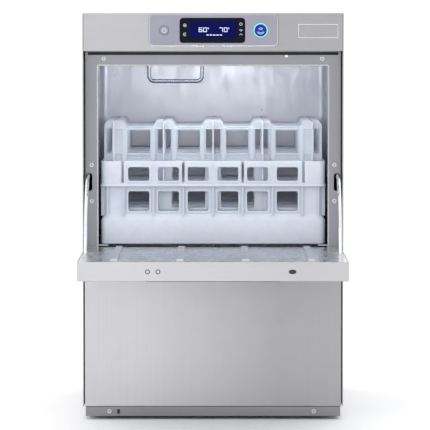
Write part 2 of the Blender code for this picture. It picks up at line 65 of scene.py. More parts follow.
CELL = 0.088                 # pitch of the rack's glass cells
WINDOW_PITCH = 0.0527        # pitch of the rack's windows

FACING_FRONT = Matrix.Rotation(math.pi / 2, 4, "X")      # local X, Y, Z to X, Z, -Y
FACING_BACK = Matrix.Rotation(-math.pi / 2, 4, "X")


def node_box(node):
    """A node's lowest and highest corners, from the datum."""
    low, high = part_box(node)
    return Vector(low) - DATUM, Vector(high) - DATUM


def spot(x, y, z):
    return DATUM + Vector((x, y, z))


# Materials

class Finish:
    """A Principled material under construction, with object coordinates to paint by."""

    def __init__(self, name, colour, roughness, metallic=0.0, **settings):
        self.material = bpy.data.materials.new(name)
        self.material.use_nodes = True
        self.material.diffuse_color = (*colour, 1)
        self.tree = self.material.node_tree
        self.shader = self.tree.nodes["Principled BSDF"]
        self.colour = colour
        self.roughness = roughness
        self.set("Base Color", (*colour, 1))
        self.set("Roughness", roughness)
        self.set("Metallic", metallic)
        for socket, value in settings.items():
            self.set(socket.replace("_", " "), value)
        self.place = self.add("ShaderNodeTexCoord").outputs["Object"]
        self.last_normal = None

    def set(self, socket, value):
        self.shader.inputs[socket].default_value = value

    def add(self, kind, **settings):
        node = self.tree.nodes.new(kind)
        for name, value in settings.items():
            setattr(node, name, value)
        return node

    def link(self, source, target):
        self.tree.links.new(source, target)

    def stretched(self, scale):
        """Object coordinates, each axis multiplied by its own scale."""
        mapping = self.add("ShaderNodeMapping")
        mapping.inputs["Scale"].default_value = scale
        self.link(self.place, mapping.inputs["Vector"])
        return mapping.outputs["Vector"]

    def noise(self, scale, detail=4.0, stretch=(1, 1, 1), roughness=0.5):
        texture = self.add("ShaderNodeTexNoise")
        texture.inputs["Scale"].default_value = scale
        texture.inputs["Detail"].default_value = detail
        texture.inputs["Roughness"].default_value = roughness
        self.link(self.stretched(stretch), texture.inputs["Vector"])
        return texture.outputs["Fac"]

    def spread(self, value, low, high, to_low, to_high):
        """A value's range moved to another range."""
        change = self.add("ShaderNodeMapRange")
        numbers = {"From Min": low, "From Max": high, "To Min": to_low, "To Max": to_high}
        for socket, number in numbers.items():
            change.inputs[socket].default_value = number
        self.link(value, change.inputs["Value"])
        return change.outputs["Result"]

    def product(self, first, second):
        times = self.add("ShaderNodeMath", operation="MULTIPLY")
        self.link(first, times.inputs[0])
        self.link(second, times.inputs[1])
        return times.outputs[0]

    def tint(self, value, dark, light):
        """Base colour between two factors of the finish's own colour."""
        ramp = self.add("ShaderNodeMix", data_type="RGBA")
        ramp.inputs["A"].default_value = (*(channel * dark for channel in self.colour), 1)
        ramp.inputs["B"].default_value = (*(min(1.0, channel * light) for channel in self.colour), 1)
        self.link(value, ramp.inputs["Factor"])
        self.link(ramp.outputs["Result"], self.shader.inputs["Base Color"])
        return self

    def gloss(self, value, low, high):
        self.link(self.spread(value, 0.25, 0.75, low, high), self.shader.inputs["Roughness"])
        return self

    def bump(self, value, height, strength=1.0):
        raised = self.add("ShaderNodeBump")
        raised.inputs["Strength"].default_value = strength
        raised.inputs["Distance"].default_value = height
        self.link(value, raised.inputs["Height"])
        if self.last_normal:
            self.link(self.last_normal, raised.inputs["Normal"])
        self.last_normal = raised.outputs["Normal"]
        self.link(self.last_normal, self.shader.inputs["Normal"])
        return self


GRAIN_ALONG_X = (3, 900, 900)
GRAIN_ALONG_Y = (900, 3, 900)
GRAIN_ALONG_Z = (900, 900, 3)


def brushed(name, colour, roughness, grain=GRAIN_ALONG_X, anisotropic=0.55, depth=0.000012, painted_shade_fall=None):
    """Rolled and brushed sheet: fine lines one way, slow cloudy changes and faint handling marks.

    The last argument, where given, is how much darker the base colour is painted towards the right: painted
    shade standing in for the darker reflection of the room on that side.
    """
    steel = Finish(name, colour, roughness, 1.0, Anisotropic=anisotropic)
    lines = steel.noise(1.0, 3.0, grain, 0.65)
    clouds = steel.noise(5.0, 2.0, (2.2, 1, 0.35))
    wear = steel.noise(38.0, 6.0, (1, 1, 1), 0.7)
    shade = steel.spread(lines, 0.3, 0.7, 0.92, 1.0)
    shade = steel.product(shade, steel.spread(clouds, 0.3, 0.7, 0.93, 1.0))
    # Painted shade: the base colour darkens towards the right, in place of the room's darker reflection.
    if painted_shade_fall:
        axes = steel.add("ShaderNodeSeparateXYZ")
        steel.link(steel.place, axes.inputs[0])
        shade = steel.product(shade, steel.spread(axes.outputs["X"], -0.13, 0.12, 1.0, 1.0 - painted_shade_fall))
    steel.tint(shade, 0.0, 1.06)
    uneven = steel.spread(lines, 0.25, 0.75, 0.86, 1.14)
    uneven = steel.product(uneven, steel.spread(clouds, 0.3, 0.7, 0.9, 1.1))
    uneven = steel.product(uneven, steel.spread(wear, 0.35, 0.65, 0.96, 1.06))
    steel.link(steel.spread(uneven, 0.0, 1.4, 0.0, roughness * 1.4), steel.shader.inputs["Roughness"])
    steel.bump(lines, depth, 0.6)
    steel.bump(clouds, 0.0004, 0.12)
    return steel.material


def polished(name, colour, roughness, wave=0.0012, metallic=1.0):
    """Deep-drawn bright sheet: long soft waves that bend its reflections, water marks, a slight haze."""
    steel = Finish(name, colour, roughness, metallic)
    waves = steel.noise(6.0, 1.2, (1.3, 1, 0.8))
    ripple = steel.noise(17.0, 1.5)
    marks = steel.noise(40.0, 4.0, (1, 1, 0.5), 0.6)
    steel.tint(marks, 0.955, 1.04)
    haze = steel.product(marks, steel.spread(waves, 0.3, 0.7, 0.8, 1.2))
    steel.gloss(haze, roughness * 0.7, roughness * 1.6)
    steel.bump(waves, wave, 0.9)
    steel.bump(ripple, 0.00012, 0.5)
    return steel.material


def bright(name, colour, roughness):
    """Drawn and plated wire or bar."""
    steel = Finish(name, colour, roughness, 1.0)
    speck = steel.noise(240.0, 4.0)
    steel.tint(speck, 0.88, 1.08)
    steel.gloss(speck, roughness * 0.7, roughness * 1.5)
    steel.bump(speck, 0.00002, 0.5)
    return steel.material


def moulded(name, colour, roughness, grain=0.00003, scale=900.0, **settings):
    """Moulded plastic: spark-eroded grain, slow flow marks and slight wear in the gloss."""
    plastic = Finish(name, colour, roughness, 0.0, **settings)
    fine = plastic.noise(scale, 3.0)
    flow = plastic.noise(9.0, 2.0)
    scuffs = plastic.noise(55.0, 6.0, (1, 1, 1), 0.72)
    plastic.tint(plastic.spread(plastic.product(flow, scuffs), 0.12, 0.40, 0.0, 1.0), 0.92, 1.05)
    plastic.gloss(scuffs, roughness * 0.82, roughness * 1.18)
    plastic.bump(fine, grain, 0.7)
    plastic.bump(flow, 0.0003, 0.15)
    return plastic.material


def cast_paint(name, colour, roughness):
    """Stove-enamelled castings: orange peel and small chips in the gloss."""
    paint = Finish(name, colour, roughness, 0.15)
    peel = paint.noise(420.0, 2.0)
    dust = paint.noise(30.0, 6.0, (1, 1, 1), 0.7)
    paint.tint(dust, 0.75, 1.2)
    paint.gloss(dust, roughness * 0.8, roughness * 1.25)
    paint.bump(peel, 0.0001, 0.6)
    return paint.material


def glowing(name, colour, strength, base=0.3):
    """A lit mark behind a window, a little uneven across its area."""
    lamp = Finish(name, tuple(channel * base for channel in colour), 0.35, Specular_IOR_Level=0.02)
    glow = lamp.noise(45.0, 2.0)
    lamp.set("Emission Color", (*colour, 1))
    uneven = lamp.spread(glow, 0.3, 0.7, strength * 0.88, strength * 1.12)
    lamp.link(uneven, lamp.shader.inputs["Emission Strength"])
    return lamp.material


def board_green():
    """A circuit board: solder mask with a fine net of tracks under it."""
    board = Finish("board_green", (0.02, 0.17, 0.08), 0.38, 0.0, Coat_Weight=0.4)
    tracks = board.add("ShaderNodeTexBrick")
    board.link(board.stretched((1, 1, 1)), tracks.inputs["Vector"])
    tracks.inputs["Scale"].default_value = 110.0
    tracks.inputs["Color1"].default_value = (0.02, 0.20, 0.09, 1)
    tracks.inputs["Color2"].default_value = (0.015, 0.13, 0.06, 1)
    tracks.inputs["Mortar"].default_value = (0.05, 0.32, 0.16, 1)
    board.link(tracks.outputs["Color"], board.shader.inputs["Base Color"])
    board.gloss(board.noise(80.0), 0.3, 0.5)
    board.bump(tracks.outputs["Fac"], 0.00005, 0.5)
    return board.material


# The front panel, fascia and door carry painted shade: their base colour darkens towards the right.
FRONT_STEEL = brushed("front_brushed_steel", (0.560, 0.556, 0.575), 0.44, GRAIN_ALONG_Z, painted_shade_fall=0.32)
FASCIA_STEEL = brushed("fascia_brushed_steel", (0.460, 0.455, 0.475), 0.46, painted_shade_fall=0.20)
FRAME_STEEL = brushed("frame_brushed_steel", (0.29, 0.292, 0.312), 0.34, GRAIN_ALONG_Z)
PLINTH_STEEL = brushed("plinth_brushed_steel", (0.27, 0.268, 0.28), 0.36)
SIDE_STEEL = brushed("side_brushed_steel", (0.50, 0.498, 0.515), 0.42, GRAIN_ALONG_Y)
TOP_STEEL = brushed("top_brushed_steel", (0.50, 0.498, 0.515), 0.38, GRAIN_ALONG_X)
DOOR_STEEL = brushed("door_brushed_steel", (0.570, 0.566, 0.590), 0.42, painted_shade_fall=0.12)
PLAIN_STEEL = brushed("galvanised_sheet", (0.55, 0.56, 0.57), 0.50, (60, 60, 60), 0.0, 0.00004)
TANK_STEEL = polished("tank_polished_steel", (0.74, 0.765, 0.84), 0.34, 0.0007, 0.5)
PRESSED_STEEL = polished("door_inner_steel", (0.52, 0.53, 0.56), 0.24, 0.0006)
BRIGHT_STEEL = bright("bright_wire_steel", (0.74, 0.75, 0.77), 0.16)
LIP_STEEL = bright("opening_lip_steel", (0.50, 0.505, 0.53), 0.30)
# Painted shade: the pressed ridge is the tank's own sheet, painted darker and bluer than the tank so that it
# reads as its shaded slopes.
EMBOSS_SHADE_STEEL = polished("embossed_edge_painted_shade_steel", (0.36, 0.38, 0.47), 0.24, 0.0006, 0.8)
# Painted shade: near-black steel for rings on the floors of the door's screw pockets, where shade falls round
# the heads.
POCKET_SHADE_STEEL = bright("countersink_painted_shade_steel", (0.125, 0.125, 0.135), 0.34)
SCREW_STEEL = bright("screw_steel", (0.62, 0.62, 0.64), 0.24)
RACK_WHITE = moulded("rack_polypropylene", (0.62, 0.66, 0.745), 0.36, Subsurface_Weight=0.12,
                     Subsurface_Scale=0.01)
DIVIDER_WHITE = moulded("divider_polypropylene", (0.60, 0.64, 0.72), 0.34, Subsurface_Weight=0.15,
                        Subsurface_Scale=0.01)
BLACK = moulded("black_plastic_moulded", (0.018, 0.018, 0.020), 0.46)
GREY = moulded("grey_plastic_moulded", (0.285, 0.278, 0.345), 0.44)
PALE_GREY = moulded("pale_plastic_edge", (0.62, 0.63, 0.68), 0.60, Specular_IOR_Level=0.05)
BLUE = moulded("blue_button_plastic", (0.002, 0.020, 0.36), 0.34, Specular_IOR_Level=0.25)
# Painted shade: near-black for patches that stand in for the shade inside a recess.
RECESS_SHADE_BLACK = moulded("painted_recess_shade", (0.012, 0.012, 0.014), 0.70)
RUBBER = moulded("moulded_rubber", (0.025, 0.025, 0.026), 0.78, 0.00006, 500.0)
MOTOR = cast_paint("motor_enamel", (0.20, 0.21, 0.23), 0.50)
BRASS = bright("turned_brass", (0.62, 0.45, 0.19), 0.30)
BOARD = board_green()
DISPLAY = Finish("display_glass_black", (0.008, 0.009, 0.016), 0.09, 0.0, Specular_IOR_Level=0.02)
DISPLAY.gloss(DISPLAY.noise(70.0, 5.0), 0.04, 0.12)
DISPLAY.tint(DISPLAY.noise(20.0), 0.8, 1.3)
DISPLAY = DISPLAY.material
DISPLAY_BLUE = glowing("display_deep_blue", (0.006, 0.008, 0.110), 0.42)
DIGIT_WHITE = glowing("digit_white", (0.70, 0.78, 0.95), 0.75, 0.6)
ICON_WHITE = glowing("icon_pale", (0.66, 0.70, 0.78), 0.40, 0.7)
RING_LIGHT = glowing("ring_light_green", (0.22, 0.78, 0.58), 0.75, 0.5)


# Shapes

def as_piece(name, mesh, finish, body, stands_for=()):
    """Links a finished mesh as a named piece on a CAD body."""
    mesh.materials.clear()
    mesh.materials.append(finish)
    piece = bpy.data.objects.new(name, mesh)
    bpy.context.scene.collection.objects.link(piece)
    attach(piece, body)
    if stands_for:
        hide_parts(*stands_for)
    return piece


def settle(mesh, move, smooth=40.0):
    """Places a mesh drawn in its own axes, and shades its round parts smooth."""
    mesh.transform(move)
    mesh.shade_smooth()
    mesh.set_sharp_from_angle(angle=math.radians(smooth))
    return mesh


def add_box(shape, low, high):
    low, high = Vector(low), Vector(high)
    fit = Matrix.Translation((low + high) / 2) @ Matrix.Diagonal((*(high - low), 1))
    bmesh.ops.create_cube(shape, size=1, matrix=fit)


def eased(mesh, width, segments=2, angle=30.0):
    """The same mesh with its sharp edges rounded over."""
    holder = bpy.data.objects.new("eased", mesh)
    bpy.context.scene.collection.objects.link(holder)
    bevel = holder.modifiers.new("edge", "BEVEL")
    bevel.width = width
    bevel.segments = segments
    bevel.limit_method = "ANGLE"
    bevel.angle_limit = math.radians(angle)
    return baked(holder)


def baked(holder):
    """An object's mesh with its modifiers applied; the object is removed."""
    bpy.context.view_layer.update()
    view = holder.evaluated_get(bpy.context.evaluated_depsgraph_get())
    mesh = bpy.data.meshes.new_from_object(view)
    mesh.transform(holder.matrix_world)
    bpy.data.objects.remove(holder)
    return mesh


def welded(mesh, distance=0.000005, flat=0.5):
    """Joins doubled corners and dissolves the edges inside flat faces."""
    shape = bmesh.new()
    shape.from_mesh(mesh)
    bmesh.ops.remove_doubles(shape, verts=shape.verts, dist=distance)
    bmesh.ops.dissolve_limit(
        shape, angle_limit=math.radians(flat), verts=shape.verts, edges=shape.edges, delimit={"NORMAL"})
    shape.to_mesh(mesh)
    shape.free()
    return mesh


def blocks_mesh(name, corners, width=0.0, segments=2):
    """Separate bars in one mesh, their edges eased."""
    mesh = bpy.data.meshes.new(name)
    shape = bmesh.new()
    for low, high in corners:
        add_box(shape, low, high)
    if width:
        bmesh.ops.bevel(
            shape, geom=list(shape.edges), offset=width, segments=segments, affect="EDGES", profile=0.5)
    shape.to_mesh(mesh)
    shape.free()
    return mesh


def arc(centre, radius, start, end, steps):
    found = []
    for step in range(steps + 1):
        angle = math.radians(start + (end - start) * step / steps)
        found.append((centre[0] + radius * math.cos(angle), centre[1] + radius * math.sin(angle)))
    return found


def circle(centre, radius, steps=24):
    return arc(centre, radius, 0, 360 - 360 / steps, steps - 1)


def round_rect(low, high, radius, steps=5):
    """The outline of a rectangle with round corners."""
    middle = ((low[0] + high[0]) / 2, (low[1] + high[1]) / 2)
    outline = []
    corners = ((high[0], high[1], 0), (low[0], high[1], 90), (low[0], low[1], 180), (high[0], low[1], 270))
    for x, y, start in corners:
        centre = (x - math.copysign(radius, x - middle[0]), y - math.copysign(radius, y - middle[1]))
        outline += arc(centre, radius, start, start + 90, steps)
    return outline


def plate_mesh(name, outlines, thickness, edge=0.0, segments=2):
    """A flat plate, its back on local Z 0; the first outline is its edge and the others are holes."""
    curve = bpy.data.curves.new(name, "CURVE")
    curve.dimensions = "2D"
    curve.fill_mode = "BOTH"
    curve.extrude = thickness / 2
    for outline in outlines:
        spline = curve.splines.new("POLY")
        spline.points.add(len(outline) - 1)
        for point, (x, y) in zip(spline.points, outline):
            point.co = (x, y, 0, 1)
        spline.use_cyclic_u = True
    holder = bpy.data.objects.new(name, curve)
    holder.location.z = thickness / 2
    bpy.context.scene.collection.objects.link(holder)
    mesh = welded(baked(holder))
    return eased(mesh, edge, segments) if edge else mesh


def turned_mesh(name, profile, steps=24):
    """A profile of (radius, height) points, from top to bottom of its outer side, turned round local Z."""
    mesh = bpy.data.meshes.new(name)
    mesh.from_pydata([(radius, 0, height) for radius, height in profile], [
        (index, index + 1) for index in range(len(profile) - 1)], [])
    holder = bpy.data.objects.new(name, mesh)
    bpy.context.scene.collection.objects.link(holder)
    screw = holder.modifiers.new("turn", "SCREW")
    screw.steps = steps
    screw.render_steps = steps
    screw.use_merge_vertices = True
    screw.merge_threshold = 0.00001
    return baked(holder)


def tube_mesh(name, points, radius, resolution):
    """A rod or wire along a route."""
    curve = bpy.data.curves.new(name, "CURVE")
    curve.dimensions = "3D"
    curve.bevel_depth = radius
    curve.bevel_resolution = resolution
    curve.use_fill_caps = True
    spline = curve.splines.new("POLY")
    spline.points.add(len(points) - 1)
    for point, place in zip(spline.points, points):
        point.co = (*place, 1)
    spline.use_smooth = True
    holder = bpy.data.objects.new(name, curve)
    bpy.context.scene.collection.objects.link(holder)
    mesh = baked(holder)
    return settle(mesh, Matrix())


def frame_sweep(name, profile, half_x, half_y, radius, steps=6):
    """A closed profile of (inset, height) points, run round a rectangle with round corners."""
    mesh = bpy.data.meshes.new(name)
    shape = bmesh.new()
    loops = []
    for inset, height in profile:
        bend = max(radius - inset, 0.0005)
        across, along = half_x - inset, half_y - inset
        outline = round_rect((-across, -along), (across, along), bend, steps)
        loops.append([shape.verts.new((x, y, height)) for x, y in outline])
    for index, loop in enumerate(loops):
        following = loops[(index + 1) % len(loops)]
        for at in range(len(loop)):
            after = (at + 1) % len(loop)
            shape.faces.new((loop[at], loop[after], following[after], following[at]))
    bmesh.ops.recalc_face_normals(shape, faces=shape.faces)
    shape.to_mesh(mesh)
    shape.free()
    return mesh


def joined(name, meshes):
    """Several meshes as one, each a closed part of it."""
    shape = bmesh.new()
    for mesh in meshes:
        shape.from_mesh(mesh)
    whole = bpy.data.meshes.new(name)
    shape.to_mesh(whole)
    shape.free()
    return whole


def cut(mesh, cutter):
    """A mesh less a cutter mesh of separate closed shapes."""
    piece = bpy.data.objects.new("cut", mesh)
    tool = bpy.data.objects.new("cutter", cutter)
    for holder in (piece, tool):
        bpy.context.scene.collection.objects.link(holder)
    boolean = piece.modifiers.new("cut", "BOOLEAN")
    boolean.operation = "DIFFERENCE"
    boolean.object = tool
    result = baked(piece)
    bpy.data.objects.remove(tool)
    return result


def node_copy(node):
    """A CAD node's mesh, with its flat faces whole again."""
    return welded(frame["nodes"][node].data.copy())


def flat_shaded(mesh):
    """Large faces keep their own normals, and the rounded edges blend between them."""
    holder = bpy.data.objects.new("flat_shaded", mesh)
    bpy.context.scene.collection.objects.link(holder)
    weighted = holder.modifiers.new("normals", "WEIGHTED_NORMAL")
    weighted.keep_sharp = True
    return baked(holder)


def refine(node, finish, edge=0.0004, segments=2, angle=30.0, pockets=None):
    """Stands for a CAD node with the same shape, its folded or moulded edges rounded over."""
    body, slot = BODY_OF[node], SLOT_OF[node]
    mesh = eased(node_copy(node), edge, segments, angle)
    if pockets:
        mesh = cut(mesh, pockets)
    mesh = flat_shaded(settle(mesh, Matrix(), 35.0))
    return as_piece(node + "_fine", mesh, finish, body, [node])


def dress(node, finish):
    """Gives a CAD node, whose shape is right, its finish."""
    mesh = frame["nodes"][node].data
    mesh.materials.clear()
    mesh.materials.append(finish)


BODY_OF = {node: body for body, nodes in frame["record"]["behaviour"]["bodies"].items() for node in nodes}
SLOT_OF = {part["node"]: part["material_slot"] for part in frame["record"]["subparts"]}
BY_SLOT = {
    "brushed_steel": PLAIN_STEEL,
    "polished_steel": TANK_STEEL,
    "bright_steel": BRIGHT_STEEL,
    "motor_grey": MOTOR,
    "rack_white": RACK_WHITE,
    "black_plastic": BLACK,
    "grey_plastic": GREY,
    "blue_plastic": BLUE,
    "light_ring": RING_LIGHT,
    "display_glass": DISPLAY,
    "rubber": RUBBER,
    "circuit_board": BOARD,
    "brass": BRASS,
}
for every_node, every_slot in SLOT_OF.items():
    dress(every_node, BY_SLOT[every_slot])


def screw_head():
    """A pan head with a cross recess, its underside on local Z 0."""
    arm, slot = 0.0019, 0.00045
    cross = [(arm, -slot), (arm, slot), (slot, slot), (slot, arm), (-slot, arm), (-slot, slot), (-arm, slot),
             (-arm, -slot), (-slot, -slot), (-slot, -arm), (slot, -arm), (slot, -slot)]
    head = plate_mesh("screw_head", [circle((0, 0), 0.0032, 20), cross], 0.0012, 0.0004)
    return settle(head, Matrix(), 30.0)


SCREW_HEAD = screw_head()


def add_screws(name, places, facing, body, size=1.0):
    """One piece for each screw of a group, its head standing on a surface."""
    for number, place in enumerate(places, 1):
        mesh = SCREW_HEAD.copy()
        spun = Matrix.Rotation(math.radians(37.0 * number), 4, "Z")
        sized = Matrix.Diagonal((size, size, 0.8, 1))
        mesh.transform(Matrix.Translation(spot(*place)) @ facing @ spun @ sized)
        as_piece(f"{name}_{number}", mesh, SCREW_STEEL, body)


# Casing

def make_casing():
    refine("side_panel_left", SIDE_STEEL, 0.0005)
    refine("side_panel_right", SIDE_STEEL, 0.0005)
    refine("top_panel", TOP_STEEL, 0.0007)
    refine("lower_front_panel", FRONT_STEEL, 0.0014, 3)
    refine("plinth_strip", PLINTH_STEEL, 0.0005)
    dress("back_panel", SIDE_STEEL)
    dress("base_tray", PLAIN_STEEL)

    low, high = node_box("plinth_strip")
    middle = (low.z + high.z) / 2
    places = [(-0.183, low.y, middle), (0.178, low.y, middle)]
    add_screws("plinth_screw", places, FACING_FRONT, "cabinet", 1.2)
    # A near-black patch on the plinth's face: painted shade in place of the dark inside of a clip recess.
    clip_recess_shade = [((-0.1695, low.y - 0.0004, middle - 0.004), (-0.1645, low.y, middle + 0.004))]
    clip_recess_shade = blocks_mesh("plinth_clip_recess_shade", clip_recess_shade)
    as_piece("plinth_clip_recess_shade", settle(clip_recess_shade, Matrix.Translation(DATUM)), RECESS_SHADE_BLACK, "cabinet")

    low, high = node_box("back_panel")
    places = []
    for z in (low.z + 0.012, (low.z + high.z) / 2, high.z - 0.012):
        places += [(low.x + 0.010, high.y, z), (high.x - 0.010, high.y, z)]
    places += [(0.0, high.y, low.z + 0.012), (0.0, high.y, high.z - 0.012)]
    add_screws("back_screw", places, FACING_BACK, "cabinet", 1.15)


def make_louvres():
    """Pressed hoods over the vent slots of the back panel."""
    face = node_box("back_panel")[1].y
    lowest, pitch = 0.55, 0.018
    hoods = []
    for row in range(5):
        z = lowest + pitch * row
        outline = [(0, z - 0.0035), (0.0042, z - 0.0035), (0.0050, z - 0.0030), (0.0046, z - 0.0012),
                   (0.0010, z + 0.0062), (0, z + 0.0066)]
        hood = plate_mesh("hood", [outline], 0.158, 0.0005)
        hood.transform(Matrix.Translation((-0.079, 0, 0)) @ Matrix(((0, 0, 1, 0), (1, 0, 0, 0), (0, 1, 0, 0),
                                                                   (0, 0, 0, 1))))
        hood.transform(Matrix.Translation(spot(0, face, 0)))
        hoods.append(hood)
    whole = settle(joined("vent_louvres", hoods), Matrix())
    as_piece("vent_louvres", whole, SIDE_STEEL, "cabinet")


def make_pipe_collars():
    """Collars where the pipes pass the back panel."""
    face = node_box("back_panel")[1].y
    rings = []
    for x, z, inner in ((-0.17, 0.12, 0.0129), (-0.10, 0.06, 0.0149), (0.17, 0.20, 0.0109)):
        ring = turned_mesh("collar", [(inner, 0.0016), (inner + 0.004, 0.0016), (inner + 0.0055, 0.0006),
                                      (inner + 0.0055, 0), (inner, 0), (inner, 0.0016)], 28)
        ring.transform(Matrix.Translation(spot(x, face, z)) @ FACING_BACK)
        rings.append(ring)
    whole = settle(joined("service_collars", rings), Matrix())
    as_piece("service_collars", whole, RUBBER, "cabinet")


# Controls

SEGMENTS = {
    "6": "top left_high left_low middle right_low bottom",
    "7": "top right_high right_low",
    "0": "top left_high left_low right_high right_low bottom",
}


def digit_bars(digit, left, foot, width, height, y):
    """The lit bars of a seven-segment digit."""
    bar = 0.16 * width
    middle, top, right = foot + height / 2, foot + height, left + width
    sides = {
        "top": (left, top - bar, right, top),
        "middle": (left, middle - bar / 2, right, middle + bar / 2),
        "bottom": (left, foot, right, foot + bar),
        "left_high": (left, middle, left + bar, top),
        "left_low": (left, foot, left + bar, middle),
        "right_high": (right - bar, middle, right, top),
        "right_low": (right - bar, foot, right, middle),
    }
    return [((sides[name][0], y, sides[name][1]), (sides[name][2], y + 0.0002, sides[name][3]))
            for name in SEGMENTS[digit].split()]


def flat_marks(name, meshes, finish, body):
    as_piece(name, settle(joined(name, meshes), Matrix.Translation(DATUM)), finish, body)


def ring_mark(x, z, y, outer, inner, start=0, end=360):
    """A flat ring, or an arc of one, on a front face."""
    steps = max(6, int((end - start) / 12))
    if end - start >= 360:
        outlines = [circle((x, z), outer), circle((x, z), inner)]
    else:
        outlines = [arc((x, z), outer, start, end, steps) + arc((x, z), inner, end, start, steps)]
    mesh = plate_mesh("mark", outlines, 0.0002)
    mesh.transform(Matrix.Translation((0, y, 0)) @ FACING_FRONT)
    return mesh


def make_controls():
    refine("control_fascia", FASCIA_STEEL, 0.0008, 3)
    refine("control_insert", GREY, 0.0006)
    refine("display_window", DISPLAY, 0.0005)
    dress("start_button_ring", RING_LIGHT)
    low, high = node_box("control_insert")
    make_rim("insert_outline", low, high, 0.0010, 0.0005, 0.008, PALE_GREY)
    low, high = node_box("badge_plate")
    dress("badge_plate", FASCIA_STEEL)
    make_rim("badge_rim", low, high, 0.0009, 0.0005, 0.0015, BRIGHT_STEEL)
    make_display()
    make_button_marks()


def make_rim(name, low, high, width, proud, radius, finish):
    """A thin raised line round the edge of a plate on the front."""
    half = (high - low) / 2
    centre = (low + high) / 2
    profile = [(0, 0), (0, proud * 0.6), (width * 0.3, proud), (width * 0.7, proud),
               (width, proud * 0.6), (width, 0)]
    rim = frame_sweep(name, profile, half.x, half.z, radius)
    move = Matrix.Translation(spot(centre.x, low.y, centre.z)) @ FACING_FRONT
    as_piece(name, settle(rim, move), finish, "cabinet")


def make_display():
    glass = node_box("display_window")[0].y
    lit = plate_mesh("display_lit_area", [round_rect((-0.041, 0.667), (0.042, 0.697), 0.003)], 0.0002)
    lit = settle(lit, Matrix.Translation(spot(0, glass, 0)) @ FACING_FRONT)
    as_piece("display_lit_area", lit, DISPLAY_BLUE, "cabinet")
    face = glass - 0.0004
    bars = []
    for digit, left in (("6", -0.0250), ("0", -0.0171), ("7", 0.0112), ("0", 0.0191)):
        bars += digit_bars(digit, left, 0.6782, 0.0062, 0.0078, face)
    digits = blocks_mesh("digits", bars)
    degrees = [ring_mark(x, 0.6846, face, 0.0013, 0.0007) for x in (-0.0085, 0.0275)]
    steps = [((-0.0115 + 0.0058 * step, face, 0.6722), (-0.0073 + 0.0058 * step, face + 0.0002, 0.6736))
             for step in range(5)]
    lines = blocks_mesh("lines", steps)
    flat_marks("display_digits", [digits, lines, *degrees], DIGIT_WHITE, "cabinet")
    icons = [
        ring_mark(-0.0495, 0.690, face, 0.0028, 0.0021),
        ring_mark(-0.0495, 0.690, face, 0.0010, 0.0004),
        ring_mark(-0.0495, 0.674, face, 0.0028, 0.0021, 40, 320),
        ring_mark(0.0490, 0.692, face, 0.0026, 0.0019),
        ring_mark(0.0490, 0.6822, face, 0.0026, 0.0019, 180, 360),
        ring_mark(0.0490, 0.6725, face, 0.0026, 0.0019, 0, 180),
        blocks_mesh("strokes", [((0.0470, face, 0.6820), (0.0510, face + 0.0002, 0.6826)),
                                ((-0.0512, face, 0.6737), (-0.0478, face + 0.0002, 0.6743))]),
    ]
    flat_marks("display_icons", icons, ICON_WHITE, "cabinet")


def make_button_marks():
    low, high = node_box("power_button")
    x, z, face = (low.x + high.x) / 2, (low.z + high.z) / 2, low.y
    power = [
        ring_mark(x, z - 0.0004, face, 0.0040, 0.0031, 118, 422),
        blocks_mesh("bar", [((x - 0.00045, face - 0.0002, z), (x + 0.00045, face, z + 0.0044))]),
    ]
    flat_marks("power_icon", power, ICON_WHITE, "power_button")
    low, high = node_box("start_button")
    x, z, face = (low.x + high.x) / 2, (low.z + high.z) / 2, low.y
    arcs = ((0.0068, 200, 340), (0.0048, 30, 150), (0.0048, 210, 330), (0.0026, 20, 160))
    strokes = [ring_mark(x, z, face, radius, radius - 0.0008, start, end) for radius, start, end in arcs]
    flat_marks("start_icon", strokes, ICON_WHITE, "start_button")


# Wash chamber

